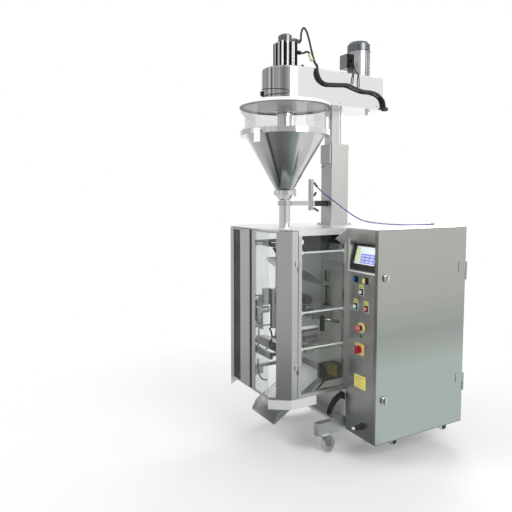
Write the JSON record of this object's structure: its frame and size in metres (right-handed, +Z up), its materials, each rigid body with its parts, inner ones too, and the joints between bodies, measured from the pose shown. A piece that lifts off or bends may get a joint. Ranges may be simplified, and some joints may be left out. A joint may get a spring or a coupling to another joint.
{
  "type": "powder packaging machine",
  "caption": "Upright bagging machine with glazed enclosure and side control cabinet, under a column-mounted auger filler with a conical hopper.",
  "frame": {"origin": "centre of the machine's footprint, on the floor", "axes": "+X to the right as seen from the front, where the control cabinet stands; +Y to the back, where the film reel is; +Z up"},
  "size_m": [0.977, 1.3245, 2.7258],
  "materials": {
    "frame_paint": "satin light grey paint",
    "cabinet_steel": "brushed stainless steel, lines upright",
    "arm_paint": "smooth white paint",
    "stainless": "brushed stainless steel",
    "bright_rod": "ground and chromed",
    "machined": "machined aluminium",
    "motor_grey": "grey motor paint",
    "zinc": "zinc plated",
    "black_plastic": "black moulded plastic",
    "black_rubber": "black rubber",
    "belt_rubber": "red-brown rubber",
    "tread": "light grey polyurethane tread",
    "acrylic": "clear acrylic",
    "smoked_acrylic": "smoked acrylic",
    "screen": "screen behind a grey bezel",
    "panel_parts": "grey moulded modules on a zinc plate",
    "yellow": "yellow plastic",
    "red": "red plastic",
    "green": "green plastic",
    "white_cap": "white plastic",
    "blue_tube": "blue polyurethane tube"
  },
  "bodies": {
    "machine_frame": {"base_frame": "frame_paint", "levelling_feet": "zinc", "cabinet_shell": "cabinet_steel", "touch_screen": "screen", "control_collars": "black_plastic", "top_plate": "stainless", "back_wall": "stainless", "side_guards": "frame_paint", "side_panes": "acrylic", "side_skirts": "stainless", "discharge_chute": "stainless", "forming_tube": "stainless", "forming_shoulder": "stainless", "seal_station": "machined", "column": "frame_paint", "spout_stay": "stainless", "blue_air_tube": "blue_tube", "frame_fasteners": "zinc", "electrical_panel": "panel_parts", "inner_hoses": "black_rubber"},
    "filler_arm": {"arm_housing": "arm_paint", "servo_motor": "machined", "stirring_motor": "motor_grey", "hopper_lid": "stainless", "hopper_ring": "acrylic", "hopper_cone": "stainless", "spout": "stainless", "mast": "stainless", "cable_bundle": "black_rubber"},
    "swivel_right": {"swivel_fork_right": "zinc"},
    "swivel_left": {"swivel_fork_left": "zinc"},
    "wheel_right": {"front_wheel_right": "tread"},
    "wheel_left": {"front_wheel_left": "tread"},
    "cabinet_door": {"cabinet_door": "cabinet_steel"},
    "upper_lock": {"door_lock_upper": "black_plastic"},
    "lower_lock": {"door_lock_lower": "black_plastic"},
    "left_selector": {"selector_left": "black_plastic"},
    "right_selector": {"selector_right": "black_plastic"},
    "upper_cap": {"upper_button": "white_cap"},
    "start_cap": {"start_button": "green"},
    "stop_cap": {"stop_button": "red"},
    "stop_mushroom": {"emergency_stop": "red"},
    "isolator": {"isolator_knob": "red"},
    "right_front_door": {"front_door_right": "stainless", "door_pane_right": "acrylic"},
    "left_front_door": {"front_door_left": "stainless", "door_pane_left": "smoked_acrylic"},
    "reel": {"reel_shaft": "bright_rod"},
    "dancer": {"dancer_arm": "machined"},
    "roller": {"film_roller": "machined"},
    "right_belt": {"belt_unit_right": "belt_rubber"},
    "left_belt": {"belt_unit_left": "belt_rubber"},
    "right_pulley": {"belt_pulley_right": "machined"},
    "left_pulley": {"belt_pulley_left": "machined"},
    "back_sealer": {"vertical_sealer": "machined"},
    "jaw_front": {"front_jaw": "machined"},
    "jaw_rear": {"rear_jaw": "machined"},
    "screw_auger": {"auger": "stainless"},
    "stirrer": {"agitator": "stainless"},
    "lid_latch": {"hopper_latch": "stainless"}
  },
  "joints": [
    {"name": "swivel_right_turn", "type": "hinge", "parent": "machine_frame", "child": "swivel_right", "pos_m": [0.1525, -0.24, 0.11], "axis": [0, 0, 1], "continuous": true},
    {"name": "swivel_left_turn", "type": "hinge", "parent": "machine_frame", "child": "swivel_left", "pos_m": [-0.4435, -0.24, 0.11], "axis": [0, 0, 1], "continuous": true},
    {"name": "wheel_right_spin", "type": "hinge", "parent": "swivel_right", "child": "wheel_right", "pos_m": [0.1525, -0.216, 0.05], "axis": [1, 0, 0], "continuous": true},
    {"name": "wheel_left_spin", "type": "hinge", "parent": "swivel_left", "child": "wheel_left", "pos_m": [-0.4435, -0.216, 0.05], "axis": [1, 0, 0], "continuous": true},
    {"name": "cabinet_door_swing", "type": "hinge", "parent": "machine_frame", "child": "cabinet_door", "pos_m": [0.4665, 0.655, 0.78], "axis": [0, 0, 1], "range_deg": [0, 110]},
    {"name": "upper_lock_turn", "type": "hinge", "parent": "cabinet_door", "child": "upper_lock", "pos_m": [0.4665, -0.043, 1.15], "axis": [1, 0, 0], "range_deg": [0, 90]},
    {"name": "lower_lock_turn", "type": "hinge", "parent": "cabinet_door", "child": "lower_lock", "pos_m": [0.4665, -0.043, 0.409], "axis": [1, 0, 0], "range_deg": [0, 90]},
    {"name": "left_selector_turn", "type": "hinge", "parent": "machine_frame", "child": "left_selector", "pos_m": [0.2715, -0.105, 1.125], "axis": [0, -1, 0], "range_deg": [-45, 45]},
    {"name": "right_selector_turn", "type": "hinge", "parent": "machine_frame", "child": "right_selector", "pos_m": [0.3665, -0.105, 1.125], "axis": [0, -1, 0], "range_deg": [-45, 45]},
    {"name": "upper_button_press", "type": "slide", "parent": "machine_frame", "child": "upper_cap", "axis": [0, 1, 0], "range_m": [0, 0.003], "stiffness_N_per_m": 900},
    {"name": "start_button_press", "type": "slide", "parent": "machine_frame", "child": "start_cap", "axis": [0, 1, 0], "range_m": [0, 0.003], "stiffness_N_per_m": 900},
    {"name": "stop_button_press", "type": "slide", "parent": "machine_frame", "child": "stop_cap", "axis": [0, 1, 0], "range_m": [0, 0.003], "stiffness_N_per_m": 900},
    {"name": "emergency_stop_press", "type": "slide", "parent": "machine_frame", "child": "stop_mushroom", "axis": [0, 1, 0], "range_m": [0, 0.0045]},
    {"name": "isolator_turn", "type": "hinge", "parent": "machine_frame", "child": "isolator", "pos_m": [0.3145, -0.105, 0.694], "axis": [0, -1, 0], "range_deg": [0, 90]},
    {"name": "right_front_door_swing", "type": "hinge", "parent": "machine_frame", "child": "right_front_door", "pos_m": [0.1925, -0.476, 0.9], "axis": [0, 0, 1], "range_deg": [0, 110]},
    {"name": "left_front_door_swing", "type": "hinge", "parent": "machine_frame", "child": "left_front_door", "pos_m": [-0.4835, -0.476, 0.9], "axis": [0, 0, -1], "range_deg": [0, 110]},
    {"name": "reel_spin", "type": "hinge", "parent": "machine_frame", "child": "reel", "pos_m": [-0.1455, 0.435, 0.54], "axis": [1, 0, 0], "continuous": true},
    {"name": "dancer_swing", "type": "hinge", "parent": "machine_frame", "child": "dancer", "pos_m": [-0.1455, 0.215, 0.8], "axis": [1, 0, 0], "range_deg": [-20, 20]},
    {"name": "film_roller_spin", "type": "hinge", "parent": "machine_frame", "child": "roller", "pos_m": [-0.1455, -0.072, 1.345], "axis": [1, 0, 0], "continuous": true},
    {"name": "right_belt_slide", "type": "slide", "parent": "machine_frame", "child": "right_belt", "axis": [1, 0, 0], "range_m": [0, 0.015]},
    {"name": "left_belt_slide", "type": "slide", "parent": "machine_frame", "child": "left_belt", "axis": [-1, 0, 0], "range_m": [0, 0.015]},
    {"name": "right_pulley_spin", "type": "hinge", "parent": "right_belt", "child": "right_pulley", "pos_m": [-0.0586, -0.365, 0.96], "axis": [0, 1, 0], "continuous": true},
    {"name": "left_pulley_spin", "type": "hinge", "parent": "left_belt", "child": "left_pulley", "pos_m": [-0.2324, -0.365, 0.96], "axis": [0, 1, 0], "continuous": true},
    {"name": "back_sealer_slide", "type": "slide", "parent": "machine_frame", "child": "back_sealer", "axis": [0, 1, 0], "range_m": [0, 0.0145]},
    {"name": "front_jaw_slide", "type": "slide", "parent": "machine_frame", "child": "jaw_front", "axis": [0, 1, 0], "range_m": [0, 0.039]},
    {"name": "rear_jaw_slide", "type": "slide", "parent": "machine_frame", "child": "jaw_rear", "axis": [0, -1, 0], "range_m": [0, 0.039]},
    {"name": "arm_lift", "type": "slide", "parent": "machine_frame", "child": "filler_arm", "axis": [0, 0, 1], "range_m": [0, 0.12]},
    {"name": "auger_spin", "type": "hinge", "parent": "filler_arm", "child": "screw_auger", "pos_m": [-0.1455, -0.365, 2], "axis": [0, 0, 1], "continuous": true},
    {"name": "agitator_spin", "type": "hinge", "parent": "filler_arm", "child": "stirrer", "pos_m": [-0.1455, -0.365, 2], "axis": [0, 0, 1], "continuous": true},
    {"name": "hopper_latch_swing", "type": "hinge", "parent": "filler_arm", "child": "lid_latch", "pos_m": [-0.02234, -0.63526, 2.041], "axis": [-0.91, -0.4147, 0], "range_deg": [0, 90]}
  ],
  "couplings": [
    {"joint": "left_belt_slide", "follows": "right_belt_slide", "ratio": 1},
    {"joint": "left_pulley_spin", "follows": "right_pulley_spin", "ratio": -1},
    {"joint": "rear_jaw_slide", "follows": "front_jaw_slide", "ratio": 1}
  ]
}
